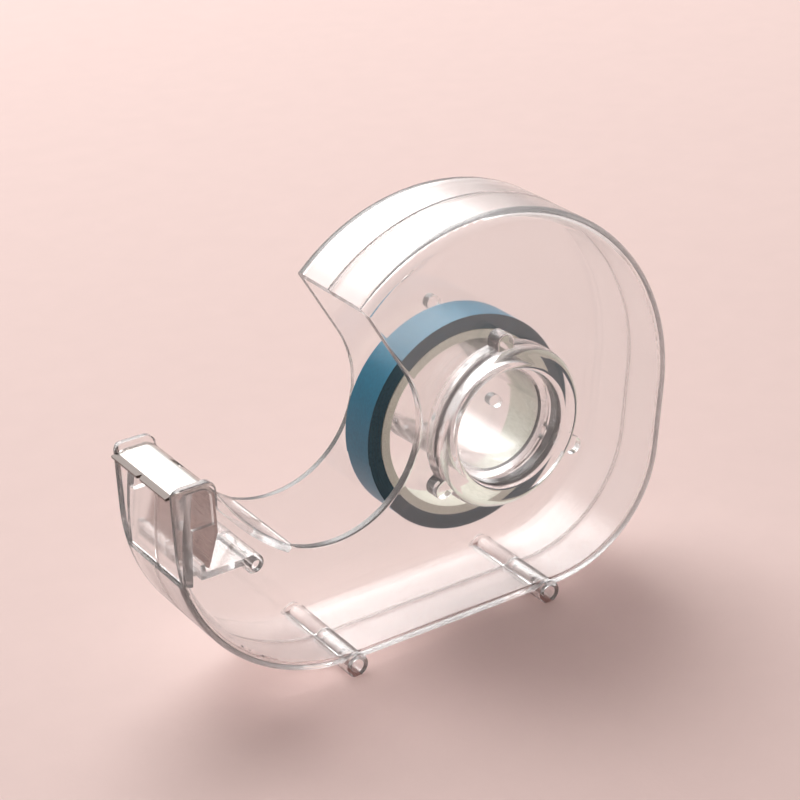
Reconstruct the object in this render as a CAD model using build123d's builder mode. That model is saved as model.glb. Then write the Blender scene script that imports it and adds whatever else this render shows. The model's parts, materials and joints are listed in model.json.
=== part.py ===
"""Small clear tape dispenser: two snap-together shells, a folded cutter blade and a narrow tape roll.

Millimetres, +Z up, -Y towards the front shell, -X towards the blade.
The origin is on the hub axis, on the seam between the two shells.
"""

from build123d import *
from math import acos, asin, atan2, cos, degrees, hypot, radians, sin
import os

# shells
half_width = 9.1
wall = 1.2
seam_half_gap = 0.05
rim_round = 2.0
mouth_edge_round = 0.4
seam_chamfer = 0.18

# side outline: a large drum, a fuller rear corner, a flat base and a rounded nose
drum_radius = 30.3
lip_angle = 132.5
heel_radius = 19.4
heel_x = 9.6
base_z = -30.1
nose_radius = 26.0
nose_x = -24.6
ear_front_top_x = -50.3
ear_top_z = 5.2
ear_back_x = -44.1
ear_back_z = 3.4
ear_front_round = 1.7
ear_back_round = 1.5

# open mouth between the lip and the nose
mouth_x = -27.1
mouth_z = 4.5
mouth_radius = 14.4
landing_x = -33.2
landing_sag = 1.0
landing_wall = 1.2
bridge_angle = 150
bridge_rise = 8.0
bridge_corner = 3.0
cut_margin = 1.0
cut_overrun_angle = 3

# nose front panel, set back between the side walls
panel_step_z = -9.6
panel_low_x = -49.5
panel_mid_x = -49.2
panel_mid_z = -3.0
panel_top_x = -48.2
panel_top_z = 3.9
panel_wall = 1.2

# cutter blade
blade_thickness = 0.4
blade_half_width = 7.7
blade_top_z = 4.5
blade_back_x = -44.1
blade_bend = 2.0
blade_tip_x = -50.9
blade_tip_drop = 0.5
blade_tip_run = 2.2
blade_knee_z = -2.8
blade_foot_x = -46.0
blade_foot_z = -7.6
tooth_pitch = 1.1
tooth_depth = 0.7
slot_half_width = 1.3
slot_depth = 1.6

# blade seat inside each shell
ledge_front_x = -48.0
leg_gap = 0.15
ledge_top_gap = 0.1
ledge_bottom_z = -1.5
ledge_width = 1.2
shelf_top_z = -7.95
shelf_thickness = 1.0
shelf_left_x = -47.2
shelf_lip_height = 1.2
shelf_lip_width = 0.7

# hub
tube_root_radius = 9.4
tube_end_radius = 8.8
tube_bore_radius = 7.5
tube_end_y = -8.3
ring_radius = 12.05
ring_proud = 2.9
ring_bore_radius = 9.1
ring_lip_radius = 8.4
ring_lip_depth = 2.6
ring_outer_round = 1.3
ring_inner_round = 0.9
lobe_circle_radius = 12.6
lobe_radius = 1.4
lobe_round = 0.3
lobe_angles = (90, 210, 330)
pip_radius = 1.1
pip_height = 1.2

# cross bars that join the shells; the two lower ones are also the feet
bar_centre_z = -30.0
bar_radius = 1.7
bar_xs = (-25.2, 7.6)
bar_overhang = 0.4
foot_flat_depth = 0.1
post_x = -39.3
post_z = -9.2
post_radius = 1.4
bar_pin_radius = 0.95
post_pin_radius = 0.75
pin_length = 6.0
pin_clearance = 0.05
pin_tip_chamfer = 0.3

# tape roll
core_inner_radius = 12.7
core_outer_radius = 14.0
roll_radius = 16.1
tape_step = 0.1
tape_end_angle = 187
roll_front_y = -0.7
roll_back_y = 5.3
hang_gap = 0.03


def polar(centre, radius, angle):
    """Point on a circle, angle in degrees."""
    return (centre[0] + radius * cos(radians(angle)), centre[1] + radius * sin(radians(angle)))


# centres and tangent angles that follow from the sizes above
drum = (0, 0)
heel = (heel_x, base_z + heel_radius)
nose = (nose_x, base_z + nose_radius)
mouth = (mouth_x, mouth_z)
heel_distance = hypot(heel[0], heel[1])
back_angle = degrees(atan2(heel[1], heel[0])) + degrees(acos((drum_radius - heel_radius) / heel_distance))
lip = polar(drum, drum_radius, lip_angle)
lip_distance = hypot(lip[0] - mouth[0], lip[1] - mouth[1])
lip_bearing = degrees(atan2(lip[1] - mouth[1], lip[0] - mouth[0]))
mouth_top_angle = lip_bearing - degrees(acos(mouth_radius / lip_distance))
landing_angle = -90 - degrees(asin((mouth[0] - landing_x) / mouth_radius))
landing = polar(mouth, mouth_radius, landing_angle)
ear_back = (ear_back_x, ear_back_z)
slope_length = hypot(ear_back[0] - landing[0], ear_back[1] - landing[1])
slope_dir = ((ear_back[0] - landing[0]) / slope_length, (ear_back[1] - landing[1]) / slope_length)
slope_in = (-slope_dir[1], slope_dir[0])
slope_mid = (
    (ear_back[0] + landing[0]) / 2 + landing_sag * slope_in[0],
    (ear_back[1] + landing[1]) / 2 + landing_sag * slope_in[1],
)

# side outline of one wall, and the hollow behind it
with BuildSketch(Plane.XZ) as side_outline:
    with BuildLine():
        CenterArc(drum, drum_radius, back_angle, lip_angle - back_angle)
        Line(polar(drum, drum_radius, back_angle), polar(heel, heel_radius, back_angle))
        CenterArc(heel, heel_radius, -90, back_angle + 90)
        Line((heel[0], base_z), (nose[0], base_z))
        CenterArc(nose, nose_radius, 180, 90)
        front_x = nose_x - nose_radius
        Line((front_x, nose[1]), (front_x, ear_top_z - ear_front_round))
        CenterArc((front_x + ear_front_round, ear_top_z - ear_front_round), ear_front_round, 90, 90)
        Line((front_x + ear_front_round, ear_top_z), (ear_back_x - ear_back_round, ear_top_z))
        CenterArc((ear_back_x - ear_back_round, ear_top_z - ear_back_round), ear_back_round, 0, 90)
        Line((ear_back_x, ear_top_z - ear_back_round), ear_back)
        ThreePointArc(ear_back, slope_mid, landing)
        CenterArc(mouth, mouth_radius, landing_angle, mouth_top_angle - landing_angle)
        Line(polar(mouth, mouth_radius, mouth_top_angle), lip)
    make_face()

landing_under = (landing[0] + landing_wall * slope_in[0], landing[1] + landing_wall * slope_in[1])
slope_mid_under = (slope_mid[0] + landing_wall * slope_in[0], slope_mid[1] + landing_wall * slope_in[1])
ear_under = (ear_back[0] + landing_wall * slope_in[0], ear_back[1] + landing_wall * slope_in[1])
panel_low = (panel_low_x, panel_step_z)
panel_mid = (panel_mid_x, panel_mid_z)
panel_top = (panel_top_x, panel_top_z)
inner_nose_angle = 180 + degrees(asin((nose[1] - panel_step_z) / (nose_radius - wall)))
inner_lip_angle = lip_angle + cut_overrun_angle
above_nose_z = ear_top_z + cut_margin
before_nose_x = front_x - cut_margin

with BuildSketch(Plane.XZ) as hollow:
    with BuildLine():
        CenterArc(drum, drum_radius - wall, back_angle, inner_lip_angle - back_angle)
        Line(polar(drum, drum_radius - wall, back_angle), polar(heel, heel_radius - wall, back_angle))
        CenterArc(heel, heel_radius - wall, -90, back_angle + 90)
        Line((heel[0], base_z + wall), (nose[0], base_z + wall))
        CenterArc(nose, nose_radius - wall, inner_nose_angle, 270 - inner_nose_angle)
        Polyline(polar(nose, nose_radius - wall, inner_nose_angle), (panel_low[0] + panel_wall, panel_low[1]))
        ThreePointArc(
            (panel_low[0] + panel_wall, panel_low[1]),
            (panel_mid[0] + panel_wall, panel_mid[1]),
            (panel_top[0] + panel_wall, panel_top[1]),
        )
        Polyline(
            (panel_top[0] + panel_wall, panel_top[1]),
            (panel_top[0] + panel_wall, above_nose_z),
            (ear_under[0], above_nose_z),
            ear_under,
        )
        ThreePointArc(ear_under, slope_mid_under, landing_under)
        Polyline(landing_under, landing, mouth, polar(drum, drum_radius - wall, inner_lip_angle))
    make_face()

# strip taken off the nose so that its front panel sits back between the side walls
with BuildSketch(Plane.XZ) as panel_recess:
    with BuildLine():
        ThreePointArc(panel_low, panel_mid, panel_top)
        Polyline(
            panel_top,
            (panel_top[0] + panel_wall, panel_top[1]),
            (panel_top[0] + panel_wall, above_nose_z),
            (before_nose_x, above_nose_z),
            (before_nose_x, panel_low[1]),
            panel_low,
        )
    make_face()

# the same outline bridged over the mouth, which gives the rim its long unbroken rounding
bridge_top_z = ear_top_z + bridge_rise
bridge_end = polar(drum, drum_radius, bridge_angle)
with BuildSketch(Plane.XZ) as bridged_outline:
    with BuildLine():
        CenterArc(drum, drum_radius, back_angle, bridge_angle - back_angle)
        Line(polar(drum, drum_radius, back_angle), polar(heel, heel_radius, back_angle))
        CenterArc(heel, heel_radius, -90, back_angle + 90)
        Line((heel[0], base_z), (nose[0], base_z))
        CenterArc(nose, nose_radius, 180, 90)
        Line((front_x, nose[1]), (front_x, bridge_top_z - bridge_corner))
        CenterArc((front_x + bridge_corner, bridge_top_z - bridge_corner), bridge_corner, 90, 90)
        Spline(
            (front_x + bridge_corner, bridge_top_z),
            bridge_end,
            tangents=((1, 0), (sin(radians(bridge_angle)), -cos(radians(bridge_angle)))),
        )
    make_face()

# seat under the blade, against the side wall
blade_under_z = blade_top_z - blade_thickness
bend_centre = (blade_back_x - blade_bend, blade_top_z - blade_bend)
ledge_round = blade_bend - blade_thickness - ledge_top_gap
ledge_back_x = bend_centre[0] + ledge_round
with BuildSketch(Plane.XZ) as ledge:
    with BuildLine():
        Line((ledge_front_x, blade_under_z - ledge_top_gap), (bend_centre[0], blade_under_z - ledge_top_gap))
        CenterArc(bend_centre, ledge_round, 0, 90)
        Polyline(
            (ledge_back_x, bend_centre[1]),
            (ledge_back_x, ledge_bottom_z),
            (ledge_front_x, ledge_bottom_z),
            (ledge_front_x, blade_under_z - ledge_top_gap),
        )
    make_face()

# shelf under the blade's foot, with a low lip in front of it
with BuildSketch(Plane.XZ) as shelf:
    with BuildLine():
        Polyline(
            (shelf_left_x, shelf_top_z + shelf_lip_height),
            (shelf_left_x + shelf_lip_width, shelf_top_z + shelf_lip_height),
            (shelf_left_x + shelf_lip_width, shelf_top_z),
            (post_x, shelf_top_z),
            (post_x, shelf_top_z - shelf_thickness),
            (shelf_left_x, shelf_top_z - shelf_thickness),
            close=True,
        )
    make_face()

inner_depth = half_width - wall - seam_half_gap

# the room inside the front shell, with its own rounding beside the wall
with BuildPart() as room:
    with BuildSketch(Plane.XZ.offset(seam_half_gap)):
        add(bridged_outline.sketch_local)
        offset(amount=-wall, mode=Mode.REPLACE)
    extrude(amount=inner_depth)
    fillet(room.faces().sort_by(Axis.Y)[0].edges(), radius=rim_round - wall)
    with BuildSketch(Plane.XZ.offset(seam_half_gap)):
        add(hollow.sketch_local)
    extrude(amount=inner_depth, mode=Mode.INTERSECT)

# solid block with the mouth cut in it, and small rounds on the mouth's edges
with BuildPart() as mouthed_block:
    with BuildSketch(Plane.XZ.offset(seam_half_gap)):
        add(side_outline.sketch_local)
    extrude(amount=half_width - seam_half_gap)
    fillet(mouthed_block.faces().sort_by(Axis.Y)[0].edges(), radius=mouth_edge_round)

# what the two shells share, drawn for the front one
with BuildPart() as half_body:
    with BuildSketch(Plane.XZ.offset(seam_half_gap)):
        add(bridged_outline.sketch_local)
    extrude(amount=half_width - seam_half_gap)
    fillet(half_body.faces().sort_by(Axis.Y)[0].edges(), radius=rim_round)
    chamfer(half_body.faces().sort_by(Axis.Y)[-1].edges(), length=seam_chamfer)
    add(mouthed_block.part, mode=Mode.INTERSECT)
    add(room.part, mode=Mode.SUBTRACT)
    with BuildSketch(Plane.XZ.offset(seam_half_gap)):
        add(panel_recess.sketch_local)
        with Locations((blade_back_x + leg_gap, blade_knee_z)):
            Rectangle(blade_bend, above_nose_z - blade_knee_z, align=(Align.MAX, Align.MIN))
    extrude(amount=inner_depth, mode=Mode.SUBTRACT)
    with BuildSketch(Plane.XZ.offset(half_width - wall - ledge_width)):
        add(ledge.sketch_local)
    extrude(amount=ledge_width)
    with BuildSketch(Plane.XZ.offset(seam_half_gap)):
        add(shelf.sketch_local)
        with Locations((post_x, post_z)):
            Circle(post_radius)
    extrude(amount=inner_depth)
    with BuildSketch(Plane.XZ.offset(seam_half_gap)):
        with Locations(*[(x, bar_centre_z) for x in bar_xs]):
            Circle(bar_radius)
    extrude(amount=half_width + bar_overhang - seam_half_gap)
    foot_z = bar_centre_z - bar_radius + foot_flat_depth
    with Locations(((bar_xs[0] + bar_xs[1]) / 2, 0, foot_z)):
        Box(
            bar_xs[1] - bar_xs[0] + 2 * (bar_radius + cut_margin),
            2 * (half_width + bar_overhang + cut_margin),
            bar_radius,
            align=(Align.CENTER, Align.CENTER, Align.MAX),
            mode=Mode.SUBTRACT,
        )

# three round-ended lobes beside the hub ring
lobe_height = ring_proud - ring_inner_round / 2
with BuildPart() as lobes:
    with BuildSketch(Plane.XZ.offset(half_width - wall / 2)):
        for angle in lobe_angles:
            with Locations(polar(drum, lobe_circle_radius, angle)):
                Circle(lobe_radius)
            with PolarLocations(lobe_circle_radius - lobe_radius, 1, start_angle=angle):
                Rectangle(2 * lobe_radius, 2 * lobe_radius)
    extrude(amount=wall / 2 + lobe_height)
    fillet(lobes.faces().group_by(Axis.Y)[0].edges(), radius=lobe_round)

# front shell: hub ring and pin sockets
with BuildPart() as front_shell:
    add(half_body.part)
    with BuildSketch(Plane.XZ.offset(half_width)):
        Circle(ring_radius)
    extrude(amount=ring_proud)
    with BuildSketch(Plane.XZ.offset(half_width - wall)):
        Circle(ring_lip_radius)
    extrude(amount=wall + ring_proud, mode=Mode.SUBTRACT)
    with BuildSketch(Plane.XZ.offset(half_width - wall)):
        Circle(ring_bore_radius)
    extrude(amount=wall + ring_proud - ring_lip_depth, mode=Mode.SUBTRACT)
    ring_edges = front_shell.edges().filter_by(GeomType.CIRCLE).group_by(Axis.Y)[0].sort_by(SortBy.RADIUS)
    fillet(ring_edges[-1], radius=ring_outer_round)
    ring_edges = front_shell.edges().filter_by(GeomType.CIRCLE).group_by(Axis.Y)[0].sort_by(SortBy.RADIUS)
    fillet(ring_edges[0], radius=ring_inner_round)
    add(lobes.part)
    with BuildSketch(Plane.XZ.offset(-seam_half_gap)):
        with Locations(*[(x, bar_centre_z) for x in bar_xs]):
            Circle(bar_pin_radius + pin_clearance)
        with Locations((post_x, post_z)):
            Circle(post_pin_radius + pin_clearance)
    extrude(amount=2 * half_width, mode=Mode.SUBTRACT)

# rear shell: hub tube, pins and pips
with BuildPart() as rear_shell:
    mirror(half_body.part, about=Plane.XZ)
    with BuildSketch(Plane.XY):
        with BuildLine():
            Polyline(
                (tube_bore_radius, half_width - wall / 2),
                (tube_root_radius, half_width - wall / 2),
                (tube_end_radius, tube_end_y),
                (tube_bore_radius, tube_end_y),
                close=True,
            )
        make_face()
    revolve(axis=Axis.Y)
    with BuildSketch(Plane.XZ.offset(-half_width - seam_half_gap)):
        Circle(tube_bore_radius)
    extrude(amount=2 * wall, mode=Mode.SUBTRACT)
    with BuildSketch(Plane.XZ.offset(-half_width + wall)):
        for angle in lobe_angles:
            with Locations(polar(drum, lobe_circle_radius, angle)):
                Circle(pip_radius)
    extrude(amount=pip_height)
    with BuildSketch(Plane.XZ.offset(-2 * seam_half_gap)):
        with Locations(*[(x, bar_centre_z) for x in bar_xs]):
            Circle(bar_pin_radius)
        with Locations((post_x, post_z)):
            Circle(post_pin_radius)
    extrude(amount=pin_length)
    pin_tips = rear_shell.edges().filter_by(GeomType.CIRCLE).filter_by(
        lambda edge: edge.radius < bar_pin_radius + pin_clearance / 2
        and abs(edge.arc_center.Y - 2 * seam_half_gap + pin_length) < pin_clearance
    )
    chamfer(pin_tips, length=pin_tip_chamfer)
    tube_mouth = rear_shell.edges().filter_by(GeomType.CIRCLE).filter_by(
        lambda edge: abs(edge.radius - tube_bore_radius) < pin_clearance
    )
    chamfer(tube_mouth, length=pin_tip_chamfer)


# cutter blade
def mitre(before, corner, after, distance):
    """Corner of a line drawn at a distance to the left of a bent path."""
    first = atan2(corner[1] - before[1], corner[0] - before[0])
    second = atan2(after[1] - corner[1], after[0] - corner[0])
    middle = (first + second) / 2 + radians(90)
    reach = distance / cos((second - first) / 2)
    return (corner[0] + reach * cos(middle), corner[1] + reach * sin(middle))


half_thickness = blade_thickness / 2
mid_top_z = blade_top_z - half_thickness
mid_back_x = blade_back_x - half_thickness
tip = (blade_tip_x, mid_top_z - blade_tip_drop)
crest = (blade_tip_x + blade_tip_run, mid_top_z)
bend_start = (bend_centre[0], mid_top_z)
bend_end = (mid_back_x, bend_centre[1])
knee = (mid_back_x, blade_knee_z)
foot = (blade_foot_x, blade_foot_z)
before_tip = (2 * tip[0] - crest[0], 2 * tip[1] - crest[1])
after_foot = (2 * foot[0] - knee[0], 2 * foot[1] - knee[1])
tooth_count = int(2 * blade_half_width / tooth_pitch)

with BuildPart() as cutter_blade:
    with BuildSketch(Plane.XZ):
        with BuildLine():
            Polyline(
                mitre(before_tip, tip, crest, half_thickness),
                mitre(tip, crest, bend_start, half_thickness),
                (bend_centre[0], blade_top_z),
            )
            CenterArc(bend_centre, blade_bend, 0, 90)
            Polyline(
                (blade_back_x, bend_centre[1]),
                mitre(bend_end, knee, foot, half_thickness),
                mitre(knee, foot, after_foot, half_thickness),
                mitre(knee, foot, after_foot, -half_thickness),
                mitre(bend_end, knee, foot, -half_thickness),
                (blade_back_x - blade_thickness, bend_centre[1]),
            )
            CenterArc(bend_centre, blade_bend - blade_thickness, 0, 90)
            Polyline(
                (bend_centre[0], blade_under_z),
                mitre(tip, crest, bend_start, -half_thickness),
                mitre(before_tip, tip, crest, -half_thickness),
                mitre(before_tip, tip, crest, half_thickness),
            )
        make_face()
    extrude(amount=blade_half_width, both=True)
    with BuildSketch(Plane.XY.offset(blade_top_z - blade_bend)):
        with GridLocations(0, tooth_pitch, 1, tooth_count):
            with BuildLine():
                Polyline(
                    (blade_tip_x - tooth_depth, tooth_pitch / 2 + tooth_depth / 2),
                    (blade_tip_x - tooth_depth, -tooth_pitch / 2 - tooth_depth / 2),
                    (blade_tip_x + tooth_depth, 0),
                    close=True,
                )
            make_face()
    extrude(amount=2 * blade_bend, mode=Mode.SUBTRACT)
    with Locations((blade_back_x + half_thickness, 0, blade_top_z + half_thickness)):
        Box(
            slot_depth,
            2 * slot_half_width,
            slot_depth,
            align=(Align.MAX, Align.CENTER, Align.MAX),
            mode=Mode.SUBTRACT,
        )

# tape roll, hanging on the tube
tube_slope = (tube_root_radius - tube_end_radius) / (half_width - wall / 2 - tube_end_y)
tube_radius_at_roll = tube_end_radius + tube_slope * (roll_back_y - tube_end_y)
roll_centre = (0, -(core_inner_radius - tube_radius_at_roll - hang_gap))
roll_width = roll_back_y - roll_front_y
outer_turn_centre = polar(roll_centre, tape_step / 2, tape_end_angle)

with BuildPart() as tape_core:
    with BuildSketch(Plane.XZ.offset(-roll_back_y)):
        with Locations(roll_centre):
            Circle(core_outer_radius)
            Circle(core_inner_radius, mode=Mode.SUBTRACT)
    extrude(amount=roll_width)

with BuildPart() as tape_winding:
    with BuildSketch(Plane.XZ.offset(-roll_back_y)):
        with BuildLine():
            CenterArc(roll_centre, roll_radius, tape_end_angle, 180)
            CenterArc(outer_turn_centre, roll_radius + tape_step / 2, tape_end_angle + 180, 180)
            Line(
                polar(roll_centre, roll_radius, tape_end_angle),
                polar(roll_centre, roll_radius + tape_step, tape_end_angle),
            )
        make_face()
        with Locations(roll_centre):
            Circle(core_outer_radius, mode=Mode.SUBTRACT)
    extrude(amount=roll_width)

os.makedirs("parts", exist_ok=True)
front_shell.part.label = "front_shell"
export_step(front_shell.part, "parts/front_shell.step")
rear_shell.part.label = "rear_shell"
export_step(rear_shell.part, "parts/rear_shell.step")
cutter_blade.part.label = "cutter_blade"
export_step(cutter_blade.part, "parts/cutter_blade.step")
tape_core.part.label = "tape_core"
export_step(tape_core.part, "parts/tape_core.step")
tape_winding.part.label = "tape_winding"
export_step(tape_winding.part, "parts/tape_winding.step")
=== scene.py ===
"""Clear tape dispenser on a pale pink sheet of paper, in soft window light.

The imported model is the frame: every size and place below comes from it, in metres, +Z up.
"""

import json
import math
import random

import bmesh
import bpy
from bpy.props import FloatProperty, FloatVectorProperty, IntProperty, PointerProperty
from mathutils import Matrix, Vector


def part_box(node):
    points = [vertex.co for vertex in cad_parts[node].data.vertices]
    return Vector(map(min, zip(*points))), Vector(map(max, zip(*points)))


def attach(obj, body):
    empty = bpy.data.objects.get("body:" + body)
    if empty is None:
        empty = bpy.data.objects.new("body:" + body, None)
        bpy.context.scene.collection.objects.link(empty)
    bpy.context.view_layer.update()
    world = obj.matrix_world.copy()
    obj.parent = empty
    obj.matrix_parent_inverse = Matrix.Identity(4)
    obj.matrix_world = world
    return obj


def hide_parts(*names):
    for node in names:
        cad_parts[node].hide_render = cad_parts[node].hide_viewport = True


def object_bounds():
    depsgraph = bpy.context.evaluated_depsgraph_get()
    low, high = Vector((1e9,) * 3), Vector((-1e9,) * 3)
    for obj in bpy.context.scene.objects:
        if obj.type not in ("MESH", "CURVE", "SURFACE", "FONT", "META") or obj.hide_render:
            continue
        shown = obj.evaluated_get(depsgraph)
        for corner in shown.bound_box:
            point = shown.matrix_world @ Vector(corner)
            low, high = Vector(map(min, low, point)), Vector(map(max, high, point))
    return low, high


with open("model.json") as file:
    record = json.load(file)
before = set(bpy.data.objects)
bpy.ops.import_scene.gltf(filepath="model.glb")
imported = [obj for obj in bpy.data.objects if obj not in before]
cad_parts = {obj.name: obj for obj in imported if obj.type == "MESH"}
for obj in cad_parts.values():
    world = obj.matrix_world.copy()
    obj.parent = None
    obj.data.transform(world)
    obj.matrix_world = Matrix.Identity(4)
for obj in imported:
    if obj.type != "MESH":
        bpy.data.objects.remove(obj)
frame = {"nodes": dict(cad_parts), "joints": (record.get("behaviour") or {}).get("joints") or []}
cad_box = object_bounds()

bl_info = {
    "name": "Clear tape dispenser",
    "version": (1, 0, 0),
    "blender": (4, 5, 0),
    "location": "View3D > Sidebar > Dispenser",
    "description": "Gives a small clear tape dispenser its plastic, steel, card, tape and studio",
    "category": "Object",
}

MM = 0.001
ROLL_JOINT = next(joint for joint in frame["joints"] if joint["name"] == "roll_spin")
WINDING_LOW, WINDING_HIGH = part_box("tape_winding")
CORE_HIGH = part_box("tape_core")[1]
BLADE_LOW, BLADE_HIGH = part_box("cutter_blade")

# sizes of the surface patterns
SHRINK_WAVE = 9 * MM
SCUFF_SIZE = 2.5 * MM
MARK_WIDTH = 0.12 * MM
MARK_LENGTH = 6 * MM
BOARD_FIBRE_WIDTH = 0.25 * MM
BOARD_FIBRE_LENGTH = 0.8 * MM
TAPE_FIBRE_WIDTH = 0.15 * MM
TAPE_FIBRE_LENGTH = 0.5 * MM
CUT_GRAIN = 0.35 * MM
CARD_MOTTLE = 6 * MM
CARD_TOOTH = 0.6 * MM
BLEND_WIDTH = 0.15 * MM

# studio
CARD_HALF_SIZE = 3.0
WINDOW_OFFSET = Vector((0.15, 1.0, 1.15))
WINDOW_COLOUR = (1.0, 0.99, 0.985)
WINDOW_FADE = 0.35
SENSOR_WIDTH = 36.0


# colours and nodes
def linear(hex_colour):
    """sRGB hex to linear red, green, blue and alpha."""
    channels = [int(hex_colour[i : i + 2], 16) / 255 for i in (1, 3, 5)]
    return (*[c / 12.92 if c <= 0.04045 else ((c + 0.055) / 1.055) ** 2.4 for c in channels], 1.0)


def add_node(tree, kind, settings=None, **inputs):
    """Adds a node. settings are its own properties; inputs are plain values or sockets to link from."""
    node = tree.nodes.new(kind)
    for name, value in (settings or {}).items():
        setattr(node, name, value)
    for name, value in inputs.items():
        socket = node.inputs[int(name[1:])] if name[0] == "_" else node.inputs[name.replace("_", " ")]
        if isinstance(value, bpy.types.NodeSocket):
            tree.links.new(value, socket)
        else:
            socket.default_value = value
    return node


def start_material(name):
    """An empty material and its node tree."""
    material = bpy.data.materials.new(name)
    material.use_nodes = True
    tree = material.node_tree
    tree.nodes.clear()
    return material, tree


def dress(node_name, material):
    """Puts a material in every slot of a CAD node."""
    slots = frame["nodes"][node_name].material_slots
    if not slots:
        raise RuntimeError(f"{node_name} has no material slot")
    for each in slots:
        each.material = material


# materials
def polystyrene(settings):
    """General-purpose polystyrene, injection moulded in a polished tool: water clear face on, softer and
    greyer at its edges, with reflections that waver where the melt shrank and a few scuffs from handling."""
    material, tree = start_material("clear_polystyrene")
    place = add_node(tree, "ShaderNodeTexCoord").outputs["Object"]
    flow = add_node(tree, "ShaderNodeTexNoise", Vector=place, Scale=1 / SHRINK_WAVE, Detail=1.0)
    scuffs = add_node(tree, "ShaderNodeTexNoise", Vector=place, Scale=1 / SCUFF_SIZE, Detail=4.0)
    gloss = add_node(
        tree,
        "ShaderNodeMapRange",
        Value=scuffs.outputs["Fac"],
        From_Min=0.55,
        From_Max=0.85,
        To_Min=settings.roughness,
        To_Max=settings.scuff_roughness,
    )
    edge_on = add_node(tree, "ShaderNodeLayerWeight", Blend=0.5)
    soft = add_node(
        tree,
        "ShaderNodeMix",
        _0=edge_on.outputs["Facing"],
        _2=gloss.outputs["Result"],
        _3=settings.edge_roughness,
    )
    waver = add_node(
        tree,
        "ShaderNodeBump",
        Height=flow.outputs["Fac"],
        Strength=1.0,
        Distance=settings.waviness,
    )
    plastic = add_node(
        tree,
        "ShaderNodeBsdfPrincipled",
        Base_Color=linear("#FBFCFC"),
        IOR=settings.ior,
        Transmission_Weight=settings.clarity,
        Roughness=soft.outputs[0],
        Normal=waver.outputs["Normal"],
    )
    shade = add_node(tree, "ShaderNodeValToRGB", Fac=edge_on.outputs["Facing"])
    shade.color_ramp.elements[0].position = 0.35
    shade.color_ramp.elements[0].color = (*settings.shade_square, 1.0)
    shade.color_ramp.elements[1].position = 0.95
    shade.color_ramp.elements[1].color = (*settings.shade_grazing, 1.0)
    passed = add_node(tree, "ShaderNodeBsdfTransparent", Color=shade.outputs["Color"])
    rays = add_node(tree, "ShaderNodeLightPath")
    mix = add_node(
        tree,
        "ShaderNodeMixShader",
        _0=rays.outputs["Is Shadow Ray"],
        _1=plastic.outputs["BSDF"],
        _2=passed.outputs["BSDF"],
    )
    add_node(tree, "ShaderNodeOutputMaterial", Surface=mix.outputs["Shader"])
    return material


def rolled_steel(settings):
    """Cold-rolled stainless strip, bright finish: mirror-like and streaked along the rolling. A dark strip
    along the front edge is partly the teeth and partly their painted shadow, and the leg below the bend is
    darker and pinkish from painted shade and a painted reflection of the card."""
    material, tree = start_material("bright_stainless_strip")
    place = add_node(tree, "ShaderNodeTexCoord").outputs["Object"]
    along = add_node(
        tree,
        "ShaderNodeMapping",
        Vector=place,
        Scale=(1 / MARK_WIDTH, 1 / MARK_LENGTH, 1 / MARK_WIDTH),
    )
    streaks = add_node(tree, "ShaderNodeTexNoise", Vector=along.outputs["Vector"], Scale=1.0, Detail=3.0)
    rough = add_node(
        tree,
        "ShaderNodeMapRange",
        Value=streaks.outputs["Fac"],
        From_Min=0.3,
        From_Max=0.7,
        To_Min=settings.roughness * 0.75,
        To_Max=settings.roughness * 1.35,
    )
    bump = add_node(tree, "ShaderNodeBump", Height=streaks.outputs["Fac"], Strength=0.5, Distance=0.004 * MM)
    tint = add_node(tree, "ShaderNodeValToRGB", Fac=streaks.outputs["Fac"])
    tint.color_ramp.elements[0].color = linear("#B9B6B1")
    tint.color_ramp.elements[1].color = linear("#D3D1CD")
    parts = add_node(tree, "ShaderNodeSeparateXYZ", Vector=place)
    # Painted shadow: this dark strip along the front edge is partly the teeth themselves and partly their
    # shadow painted in.
    teeth_and_shadow = add_node(
        tree,
        "ShaderNodeMapRange",
        Value=parts.outputs["X"],
        From_Min=BLADE_LOW.x + settings.teeth_and_shadow_width,
        From_Max=BLADE_LOW.x + settings.teeth_and_shadow_width + BLEND_WIDTH,
    )
    # Painted shade: below the bend the leg gets a darker, pinkish colour that stands in for its shade and a
    # reflection of the pink card.
    leg_shade_mask = add_node(
        tree,
        "ShaderNodeMapRange",
        Value=parts.outputs["Z"],
        From_Min=BLADE_HIGH.z - settings.leg_shade_drop,
        From_Max=BLADE_HIGH.z - settings.leg_shade_drop + 2 * BLEND_WIDTH,
    )
    leg = add_node(
        tree,
        "ShaderNodeMix",
        {"data_type": "RGBA"},
        _0=leg_shade_mask.outputs["Result"],
        _6=linear("#A89894"),
        _7=tint.outputs["Color"],
    )
    finish = add_node(
        tree,
        "ShaderNodeMix",
        {"data_type": "RGBA"},
        _0=teeth_and_shadow.outputs["Result"],
        _6=linear("#47413E"),
        _7=leg.outputs[2],
    )
    steel = add_node(
        tree,
        "ShaderNodeBsdfPrincipled",
        Base_Color=finish.outputs[2],
        Metallic=1.0,
        Roughness=rough.outputs["Result"],
        Normal=bump.outputs["Normal"],
    )
    add_node(tree, "ShaderNodeOutputMaterial", Surface=steel.outputs["BSDF"])
    return material


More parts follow.
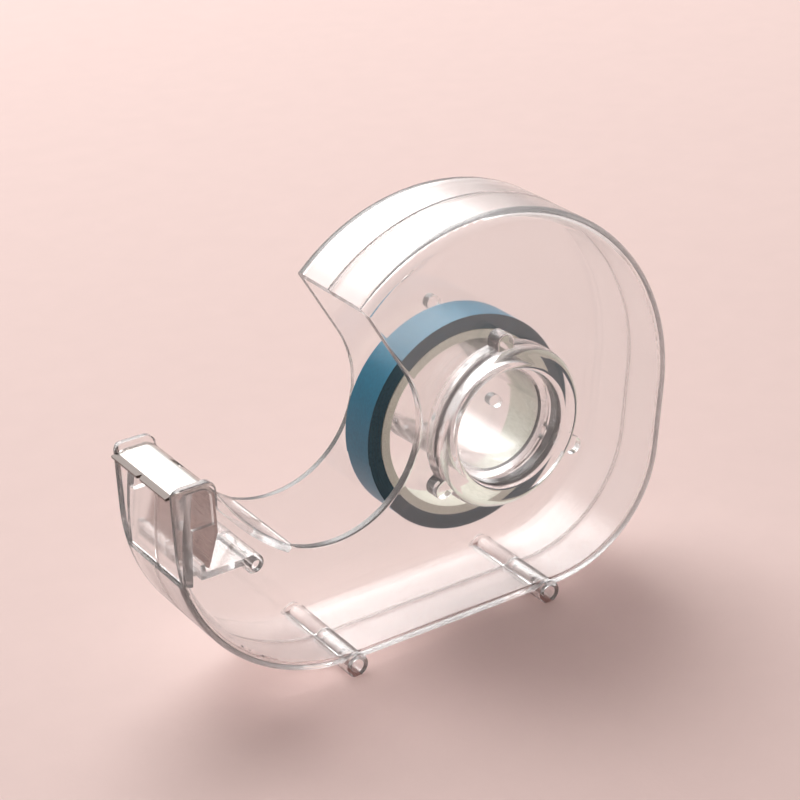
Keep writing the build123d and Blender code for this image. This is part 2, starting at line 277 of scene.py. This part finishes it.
def core_board(settings):
    """Wound core board, uncoated: warm white, matt, with short grey-brown fibres."""
    material, tree = start_material("wound_core_board")
    place = add_node(tree, "ShaderNodeTexCoord").outputs["Object"]
    fibre_scale = add_node(
        tree,
        "ShaderNodeMapping",
        Vector=place,
        Scale=(1 / BOARD_FIBRE_WIDTH, 1 / BOARD_FIBRE_LENGTH, 1 / BOARD_FIBRE_WIDTH),
    )
    fibres = add_node(tree, "ShaderNodeTexNoise", Vector=fibre_scale.outputs["Vector"], Scale=1.0, Detail=5.0)
    colour = add_node(tree, "ShaderNodeValToRGB", Fac=fibres.outputs["Fac"])
    colour.color_ramp.elements[0].position = 0.3
    colour.color_ramp.elements[0].color = linear("#D6D8C8")
    colour.color_ramp.elements[1].position = 0.7
    colour.color_ramp.elements[1].color = linear("#F0F1E4")
    bump = add_node(tree, "ShaderNodeBump", Height=fibres.outputs["Fac"], Strength=0.6, Distance=0.02 * MM)
    board = add_node(
        tree,
        "ShaderNodeBsdfPrincipled",
        Base_Color=colour.outputs["Color"],
        Roughness=settings.roughness,
        Normal=bump.outputs["Normal"],
    )
    add_node(tree, "ShaderNodeOutputMaterial", Surface=board.outputs["BSDF"])
    return material


def paper_tape(settings):
    """Rice-paper masking tape, printed plain: satin top coat over long thin fibres."""
    material, tree = start_material("satin_paper_tape")
    place = add_node(tree, "ShaderNodeTexCoord").outputs["Object"]
    fibre_scale = add_node(
        tree,
        "ShaderNodeMapping",
        Vector=place,
        Scale=(1 / TAPE_FIBRE_LENGTH, 1 / TAPE_FIBRE_WIDTH, 1 / TAPE_FIBRE_LENGTH),
    )
    fibres = add_node(tree, "ShaderNodeTexNoise", Vector=fibre_scale.outputs["Vector"], Scale=1.0, Detail=4.0)
    colour = add_node(tree, "ShaderNodeValToRGB", Fac=fibres.outputs["Fac"])
    colour.color_ramp.elements[0].position = 0.25
    colour.color_ramp.elements[0].color = linear("#0A6684")
    colour.color_ramp.elements[1].position = 0.8
    colour.color_ramp.elements[1].color = linear("#1580A0")
    bump = add_node(tree, "ShaderNodeBump", Height=fibres.outputs["Fac"], Strength=0.5, Distance=0.01 * MM)
    paper = add_node(
        tree,
        "ShaderNodeBsdfPrincipled",
        Base_Color=colour.outputs["Color"],
        Roughness=settings.roughness,
        Normal=bump.outputs["Normal"],
    )
    add_node(tree, "ShaderNodeOutputMaterial", Surface=paper.outputs["BSDF"])
    return material


def tape_edges(settings):
    """Slit edges of paper tape: the stacked cuts read darker and bluer-grey than the face, and a
    little shiny all over."""
    material, tree = start_material("slit_tape_edges")
    place = add_node(tree, "ShaderNodeTexCoord").outputs["Object"]
    grain = add_node(tree, "ShaderNodeTexNoise", Vector=place, Scale=1 / CUT_GRAIN, Detail=4.0)
    colour = add_node(tree, "ShaderNodeValToRGB", Fac=grain.outputs["Fac"])
    colour.color_ramp.elements[0].position = 0.3
    colour.color_ramp.elements[0].color = linear("#2A4A56")
    colour.color_ramp.elements[1].position = 0.75
    colour.color_ramp.elements[1].color = linear("#41616B")
    bump = add_node(tree, "ShaderNodeBump", Height=grain.outputs["Fac"], Strength=0.5, Distance=0.02 * MM)
    edge = add_node(
        tree,
        "ShaderNodeBsdfPrincipled",
        Base_Color=colour.outputs["Color"],
        Roughness=0.5,
        Normal=bump.outputs["Normal"],
    )
    add_node(tree, "ShaderNodeOutputMaterial", Surface=edge.outputs["BSDF"])
    return material


def backdrop_paper(settings):
    """Uncoated pink card: matt, faintly mottled, with a fine tooth."""
    material, tree = start_material("pink_backdrop_card")
    place = add_node(tree, "ShaderNodeTexCoord").outputs["Object"]
    mottle = add_node(tree, "ShaderNodeTexNoise", Vector=place, Scale=1 / CARD_MOTTLE, Detail=6.0)
    colour = add_node(tree, "ShaderNodeValToRGB", Fac=mottle.outputs["Fac"])
    colour.color_ramp.elements[0].color = (*[0.97 * c for c in settings.card_colour], 1.0)
    colour.color_ramp.elements[1].color = (*[min(1.0, 1.02 * c) for c in settings.card_colour], 1.0)
    tooth = add_node(tree, "ShaderNodeTexNoise", Vector=place, Scale=1 / CARD_TOOTH, Detail=3.0)
    bump = add_node(tree, "ShaderNodeBump", Height=tooth.outputs["Fac"], Strength=0.3, Distance=0.05 * MM)
    card = add_node(
        tree,
        "ShaderNodeBsdfPrincipled",
        Base_Color=colour.outputs["Color"],
        Roughness=0.85,
        Normal=bump.outputs["Normal"],
    )
    add_node(tree, "ShaderNodeOutputMaterial", Surface=card.outputs["BSDF"])
    return material


# settings
class ShellSettings(bpy.types.PropertyGroup):
    ior: FloatProperty(
        name="IOR",
        description="Polystyrene is 1.59; lowered here so that the edges are less dark",
        default=1.52,
    )
    clarity: FloatProperty(
        name="Clarity", description="Share of light passed, the rest is haze", default=0.965
    )
    roughness: FloatProperty(name="Roughness", description="Polished surface", default=0.004)
    scuff_roughness: FloatProperty(name="Scuffs", description="Roughness where handled", default=0.05)
    waviness: FloatProperty(
        name="Waviness", description="Height of the shrink waves", default=0.01 * MM, unit="LENGTH"
    )
    edge_roughness: FloatProperty(
        name="Edge roughness", description="Roughness where the surface turns away", default=0.24
    )
    shade_square: FloatVectorProperty(
        name="Square shade",
        description="Lamp light passed straight through a surface",
        size=3,
        subtype="COLOR",
        default=linear("#DEDADA")[:3],
    )
    shade_grazing: FloatVectorProperty(
        name="Grazing shade",
        description="Lamp light passed at a slant",
        size=3,
        subtype="COLOR",
        default=linear("#7A7272")[:3],
    )


class BladeSettings(bpy.types.PropertyGroup):
    roughness: FloatProperty(name="Roughness", description="Across the rolling marks", default=0.22)
    # Width of the dark front strip: the teeth with their painted shadow.
    teeth_and_shadow_width: FloatProperty(
        name="Ground",
        description="Width of the ground strip along the front edge",
        default=0.9 * MM,
        unit="LENGTH",
    )
    # Where the leg's painted shade starts: a darker, pinkish colour, with the same roughness as the top.
    leg_shade_drop: FloatProperty(
        name="Fold",
        description="How far below the top the leg's duller face starts",
        default=1.6 * MM,
        unit="LENGTH",
    )


class CoreSettings(bpy.types.PropertyGroup):
    roughness: FloatProperty(name="Roughness", description="Uncoated board", default=0.75)


class TapeSettings(bpy.types.PropertyGroup):
    roughness: FloatProperty(name="Roughness", description="Satin top coat", default=0.36)
    pitch: FloatProperty(name="Pitch", description="Step from turn to turn", default=0.1 * MM, unit="LENGTH")
    air_gap: FloatProperty(name="Gap", description="Share of the pitch left between turns", default=0.12)
    wander: FloatProperty(
        name="Wander", description="How far the edges stray sideways", default=0.05 * MM, unit="LENGTH"
    )
    end_angle: FloatProperty(
        name="End", description="Where the free end lies", default=math.radians(187), subtype="ANGLE"
    )
    steps: IntProperty(name="Steps", description="Sections in a turn", default=144)
    seed: IntProperty(name="Seed", description="Seed of the wander", default=7)


class StageSettings(bpy.types.PropertyGroup):
    card_colour: FloatVectorProperty(
        name="Card", description="Backdrop card", size=3, subtype="COLOR", default=linear("#F0D6D0")[:3]
    )
    azimuth: FloatProperty(
        name="Azimuth", description="Camera azimuth", default=math.radians(-31.526), subtype="ANGLE"
    )
    elevation: FloatProperty(
        name="Elevation", description="Camera elevation", default=math.radians(25.926), subtype="ANGLE"
    )
    roll: FloatProperty(name="Roll", description="Camera roll", default=math.radians(-3.014), subtype="ANGLE")
    lens: FloatProperty(name="Lens", description="Focal length in millimetres", default=107.1)
    skirting_colour: FloatVectorProperty(
        name="Skirting",
        description="Room colour near the horizon",
        size=3,
        subtype="COLOR",
        default=linear("#E2D2CE")[:3],
    )
    window_width: FloatProperty(
        name="Window width", description="Softbox width", default=2.2, unit="LENGTH"
    )
    window_height: FloatProperty(
        name="Window height", description="Softbox height", default=2.0, unit="LENGTH"
    )
    window_power: FloatProperty(name="Window power", description="Softbox power in watts", default=71.0)
    sky_seen: FloatProperty(name="Sky seen", description="Level of the room in reflections", default=0.98)
    sky_fill: FloatProperty(name="Sky fill", description="Level of the room as fill light", default=0.17)
    bounces: IntProperty(name="Bounces", description="Surfaces a ray may pass in the clear walls", default=32)
    camera_place: FloatVectorProperty(
        name="Camera",
        description="Camera place",
        size=3,
        unit="LENGTH",
        default=(-0.16538, -0.25295, 0.14709),
    )


# pieces
class DISPENSER_OT_shells(bpy.types.Operator):
    """Dress both clear shells"""

    bl_idname = "dispenser.shells"
    bl_label = "Shells"

    def execute(self, context):
        plastic = polystyrene(context.scene.dispenser_shells)
        dress("front_shell", plastic)
        dress("rear_shell", plastic)
        return {"FINISHED"}


class DISPENSER_OT_blade(bpy.types.Operator):
    """Dress the cutter blade"""

    bl_idname = "dispenser.blade"
    bl_label = "Blade"

    def execute(self, context):
        dress("cutter_blade", rolled_steel(context.scene.dispenser_blade))
        return {"FINISHED"}


class DISPENSER_OT_core(bpy.types.Operator):
    """Dress the tape core"""

    bl_idname = "dispenser.core"
    bl_label = "Core"

    def execute(self, context):
        dress("tape_core", core_board(context.scene.dispenser_core))
        return {"FINISHED"}


def wind_tape(name, centre, inner_radius, outer_radius, front_y, back_y, settings):
    """One long strip wound on itself from the core outwards; its edges wander a little from turn to turn."""
    rng = random.Random(settings.seed)
    turns = round((outer_radius - inner_radius) / settings.pitch)
    thickness = settings.pitch * (1 - settings.air_gap)
    last = turns * settings.steps
    phases = [rng.uniform(0, 2 * math.pi) for _ in range(3)]
    drifts = [rng.uniform(-1, 1) for _ in range(turns + 2)]
    shape = bmesh.new()
    before = None
    for step in range(last + 1):
        turn = step / settings.steps
        angle = settings.end_angle - 2 * math.pi * (turns - turn)
        radius = inner_radius + settings.pitch * turn
        base, part = divmod(turn, 1)
        drift = drifts[int(base)] * (1 - part) + drifts[int(base) + 1] * part
        wave = sum(math.sin((k + 2) * angle * 0.37 + phase) for k, phase in enumerate(phases)) / 3
        shift = settings.wander * (0.6 * drift + 0.4 * wave)
        low_y = front_y + settings.wander + shift
        high_y = back_y - settings.wander + shift
        ring = []
        for r, y in (
            (radius, low_y),
            (radius + thickness, low_y),
            (radius + thickness, high_y),
            (radius, high_y),
        ):
            ring.append(shape.verts.new((centre.x + r * math.cos(angle), y, centre.z + r * math.sin(angle))))
        if before:
            for side in range(4):
                after = (side + 1) % 4
                face = shape.faces.new((before[side], before[after], ring[after], ring[side]))
                face.material_index = 1 if side in (0, 2) else 0
        else:
            shape.faces.new(ring[::-1])
        before = ring
    shape.faces.new(before)
    bmesh.ops.recalc_face_normals(shape, faces=shape.faces)
    mesh = bpy.data.meshes.new(name)
    shape.to_mesh(mesh)
    shape.free()
    mesh.shade_smooth()
    mesh.set_sharp_from_angle(angle=math.radians(40))
    tape = bpy.data.objects.new(name, mesh)
    bpy.context.scene.collection.objects.link(tape)
    return tape


class DISPENSER_OT_tape(bpy.types.Operator):
    """Wind the tape on its core"""

    bl_idname = "dispenser.tape"
    bl_label = "Tape"

    def execute(self, context):
        settings = context.scene.dispenser_tape
        centre = Vector(ROLL_JOINT["pos_m"])
        tape = wind_tape(
            "wound_tape",
            centre,
            CORE_HIGH.x,
            centre.x - WINDING_LOW.x,
            WINDING_LOW.y,
            WINDING_HIGH.y,
            settings,
        )
        tape.data.materials.append(paper_tape(settings))
        tape.data.materials.append(tape_edges(settings))
        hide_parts("tape_winding")
        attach(tape, "roll")
        return {"FINISHED"}


def softbox(name, place, target, settings):
    """A rectangular area light aimed at a point, dimming towards its own edges."""
    data = bpy.data.lights.new(name, "AREA")
    data.shape = "RECTANGLE"
    data.size = settings.window_width
    data.size_y = settings.window_height
    data.energy = settings.window_power
    data.color = WINDOW_COLOUR
    data.use_nodes = True
    tree = data.node_tree
    tree.nodes.clear()
    spot = add_node(tree, "ShaderNodeNewGeometry").outputs["Parametric"]
    across = add_node(tree, "ShaderNodeSeparateXYZ", Vector=spot)
    levels = []
    for side in ("X", "Y"):
        out = add_node(tree, "ShaderNodeMath", {"operation": "SUBTRACT"}, _0=across.outputs[side], _1=0.5)
        out = add_node(tree, "ShaderNodeMath", {"operation": "ABSOLUTE"}, _0=out.outputs[0])
        out = add_node(
            tree,
            "ShaderNodeMapRange",
            {"interpolation_type": "SMOOTHSTEP"},
            Value=out.outputs[0],
            From_Min=0.5,
            From_Max=0.5 - WINDOW_FADE,
            To_Min=0.0,
            To_Max=1.0,
        )
        levels.append(out.outputs["Result"])
    level = add_node(tree, "ShaderNodeMath", {"operation": "MULTIPLY"}, _0=levels[0], _1=levels[1])
    glow = add_node(tree, "ShaderNodeEmission", Strength=level.outputs[0])
    add_node(tree, "ShaderNodeOutputLight", Surface=glow.outputs["Emission"])
    light = bpy.data.objects.new(name, data)
    light.location = place
    light.rotation_euler = (target - place).to_track_quat("-Z", "Y").to_euler()
    bpy.context.scene.collection.objects.link(light)


class DISPENSER_OT_stage(bpy.types.Operator):
    """Lay the backdrop card, light it and set the camera"""

    bl_idname = "dispenser.stage"
    bl_label = "Stage"

    def execute(self, context):
        settings = context.scene.dispenser_stage
        low, high = cad_box
        floor_z = low.z
        mesh = bpy.data.meshes.new("backdrop_card")
        shape = bmesh.new()
        bmesh.ops.create_grid(shape, x_segments=1, y_segments=1, size=CARD_HALF_SIZE)
        bmesh.ops.translate(shape, verts=shape.verts, vec=(0, 0, floor_z))
        shape.to_mesh(mesh)
        shape.free()
        card = bpy.data.objects.new("backdrop_card", mesh)
        card.data.materials.append(backdrop_paper(settings))
        context.scene.collection.objects.link(card)

        middle = (low + high) / 2
        softbox("window", middle + WINDOW_OFFSET, middle, settings)

        world = bpy.data.worlds.new("studio")
        context.scene.world = world
        world.use_nodes = True
        tree = world.node_tree
        tree.nodes.clear()
        way = add_node(tree, "ShaderNodeTexCoord").outputs["Generated"]
        parts = add_node(tree, "ShaderNodeSeparateXYZ", Vector=way)
        back = add_node(
            tree,
            "ShaderNodeMapRange",
            Value=parts.outputs["Y"],
            From_Min=-0.8,
            From_Max=0.8,
            To_Min=0.0,
            To_Max=1.0,
        )
        shade = add_node(tree, "ShaderNodeValToRGB", Fac=back.outputs["Result"])
        shade.color_ramp.elements[0].color = linear("#E8DAD6")
        shade.color_ramp.elements[1].color = linear("#F4ECEA")
        skirting = add_node(
            tree, "ShaderNodeMapRange", Value=parts.outputs["Z"], From_Min=0.05, From_Max=0.22
        )
        wall = add_node(
            tree,
            "ShaderNodeMix",
            {"data_type": "RGBA"},
            _0=skirting.outputs["Result"],
            _6=(*settings.skirting_colour, 1.0),
            _7=shade.outputs["Color"],
        )
        rays = add_node(tree, "ShaderNodeLightPath")
        level = add_node(
            tree,
            "ShaderNodeMapRange",
            Value=rays.outputs["Is Diffuse Ray"],
            To_Min=settings.sky_seen,
            To_Max=settings.sky_fill,
        )
        sky = add_node(tree, "ShaderNodeBackground", Color=wall.outputs[2], Strength=level.outputs["Result"])
        add_node(tree, "ShaderNodeOutputWorld", Surface=sky.outputs["Background"])

        data = bpy.data.cameras.new("camera")
        data.lens = settings.lens
        data.sensor_width = SENSOR_WIDTH
        data.clip_start = 0.01
        data.clip_end = 50.0
        camera = bpy.data.objects.new("camera", data)
        turn = Matrix.Rotation(settings.azimuth, 3, "Z") @ Matrix.Rotation(
            math.radians(90) - settings.elevation, 3, "X"
        )
        turn = turn @ Matrix.Rotation(settings.roll, 3, "Z")
        camera.rotation_euler = turn.to_euler()
        camera.location = settings.camera_place
        context.scene.collection.objects.link(camera)
        context.scene.camera = camera
        context.scene.view_settings.view_transform = "Standard"
        context.scene.cycles.max_bounces = settings.bounces
        context.scene.cycles.transmission_bounces = settings.bounces
        return {"FINISHED"}


OPERATORS = (
    DISPENSER_OT_stage,
    DISPENSER_OT_shells,
    DISPENSER_OT_blade,
    DISPENSER_OT_core,
    DISPENSER_OT_tape,
)
SETTINGS = {
    "dispenser_shells": ShellSettings,
    "dispenser_blade": BladeSettings,
    "dispenser_core": CoreSettings,
    "dispenser_tape": TapeSettings,
    "dispenser_stage": StageSettings,
}


class DISPENSER_PT_panel(bpy.types.Panel):
    """The dispenser's operators and settings"""

    bl_idname = "DISPENSER_PT_panel"
    bl_label = "Clear tape dispenser"
    bl_space_type = "VIEW_3D"
    bl_region_type = "UI"
    bl_category = "Dispenser"

    def draw(self, context):
        for operator in OPERATORS:
            self.layout.operator(operator.bl_idname)
        for name, group in SETTINGS.items():
            box = self.layout.box()
            for field in group.__annotations__:
                box.prop(getattr(context.scene, name), field)


def register():
    for group in SETTINGS.values():
        bpy.utils.register_class(group)
    for operator in OPERATORS:
        bpy.utils.register_class(operator)
    bpy.utils.register_class(DISPENSER_PT_panel)
    for name, group in SETTINGS.items():
        setattr(bpy.types.Scene, name, PointerProperty(type=group))


def unregister():
    for name in SETTINGS:
        delattr(bpy.types.Scene, name)
    bpy.utils.unregister_class(DISPENSER_PT_panel)
    for operator in reversed(OPERATORS):
        bpy.utils.unregister_class(operator)
    for group in reversed(SETTINGS.values()):
        bpy.utils.unregister_class(group)


def main():
    register()
    bpy.ops.dispenser.stage()
    bpy.ops.dispenser.shells()
    bpy.ops.dispenser.blade()
    bpy.ops.dispenser.core()
    bpy.ops.dispenser.tape()


if __name__ == "__main__":
    main()
